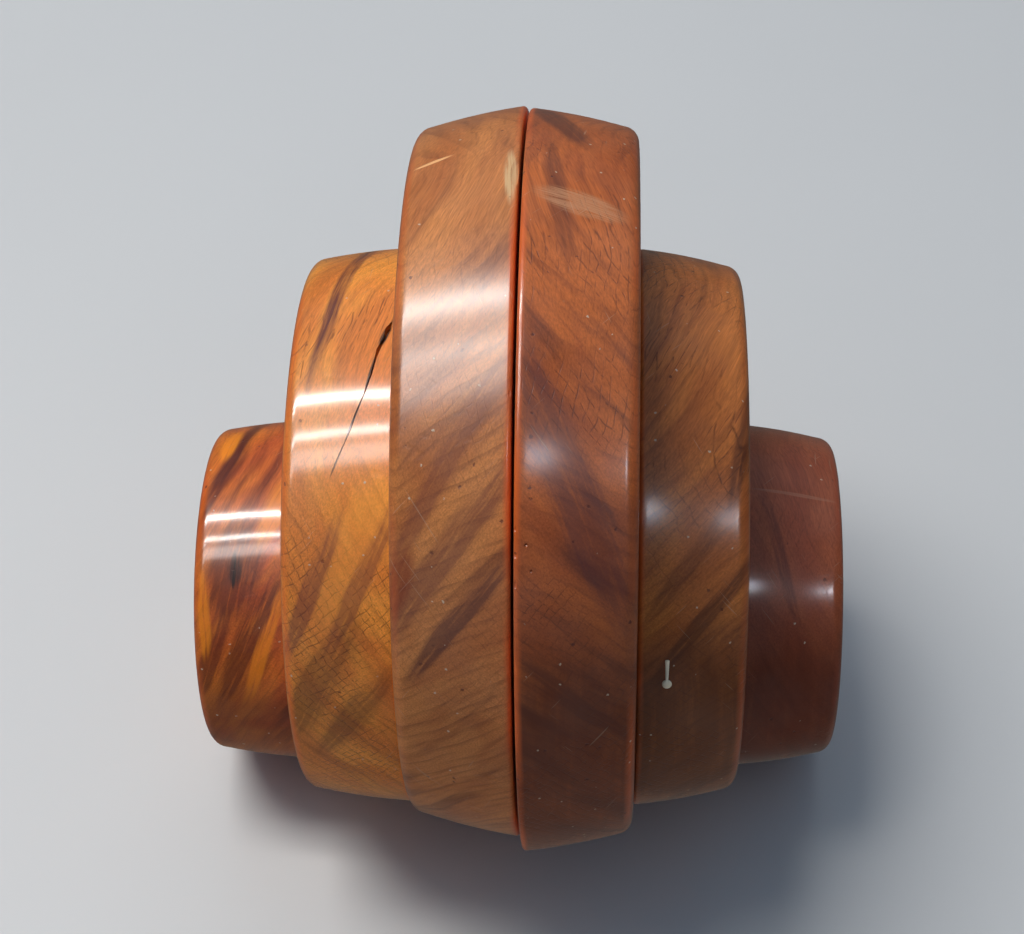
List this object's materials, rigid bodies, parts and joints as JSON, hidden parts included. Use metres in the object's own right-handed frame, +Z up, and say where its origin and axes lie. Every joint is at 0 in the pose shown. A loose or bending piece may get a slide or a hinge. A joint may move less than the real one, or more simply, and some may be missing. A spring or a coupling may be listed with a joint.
{
  "type": "stacking ring toy",
  "caption": "Wooden stacking toy of stepped, tapered rings threaded on a straight spindle, large in the middle and small at both ends, with turned end buttons.",
  "frame": {"origin": "on the table, under the middle of the whole toy", "axes": "+X along the spindle from the left stack to the right stack, +Y away from the front, +Z up from the table that the rings stand on"},
  "size_m": [0.1326, 0.1528, 0.1506],
  "materials": {
    "pink_brown_wood": "worn satin lacquer over pinkish tan hardwood",
    "golden_wood": "worn satin lacquer over golden tan hardwood",
    "orange_flame_wood": "glossy lacquer over flame-figured orange hardwood",
    "red_brown_wood": "worn satin lacquer over red-brown hardwood",
    "olive_brown_wood": "worn satin lacquer over olive-brown hardwood",
    "mahogany_wood": "worn satin lacquer over plain mahogany",
    "pale_dowel_wood": "bare sanded hardwood dowel",
    "button_wood": "satin lacquer over brown hardwood"
  },
  "bodies": {
    "spindle": {"spindle": "pale_dowel_wood"},
    "left_large_ring": {"left_large_ring": "pink_brown_wood"},
    "left_medium_ring": {"left_medium_ring": "golden_wood"},
    "left_small_ring": {"left_small_ring": "orange_flame_wood"},
    "left_end_button": {"left_end_button": "button_wood"},
    "right_large_ring": {"right_large_ring": "red_brown_wood"},
    "right_medium_ring": {"right_medium_ring": "olive_brown_wood"},
    "right_small_ring": {"right_small_ring": "mahogany_wood"},
    "right_end_button": {"right_end_button": "button_wood"}
  },
  "joints": [
    {"name": "left_large_lift_off", "type": "slide", "parent": "spindle", "child": "left_large_ring", "axis": [-1, 0, 0], "range_m": [0, 0.08]},
    {"name": "left_medium_lift_off", "type": "slide", "parent": "left_large_ring", "child": "left_medium_ring", "axis": [-1, 0, 0], "range_m": [0, 0.055]},
    {"name": "left_small_lift_off", "type": "slide", "parent": "left_medium_ring", "child": "left_small_ring", "axis": [-1, 0, 0], "range_m": [0, 0.035]},
    {"name": "left_button_pull", "type": "slide", "parent": "left_small_ring", "child": "left_end_button", "axis": [-1, 0, 0], "range_m": [0, 0.025]},
    {"name": "right_large_lift_off", "type": "slide", "parent": "spindle", "child": "right_large_ring", "axis": [1, 0, 0], "range_m": [0, 0.08]},
    {"name": "right_medium_lift_off", "type": "slide", "parent": "right_large_ring", "child": "right_medium_ring", "axis": [1, 0, 0], "range_m": [0, 0.055]},
    {"name": "right_small_lift_off", "type": "slide", "parent": "right_medium_ring", "child": "right_small_ring", "axis": [1, 0, 0], "range_m": [0, 0.035]},
    {"name": "right_button_pull", "type": "slide", "parent": "right_small_ring", "child": "right_end_button", "axis": [1, 0, 0], "range_m": [0, 0.025]}
  ]
}
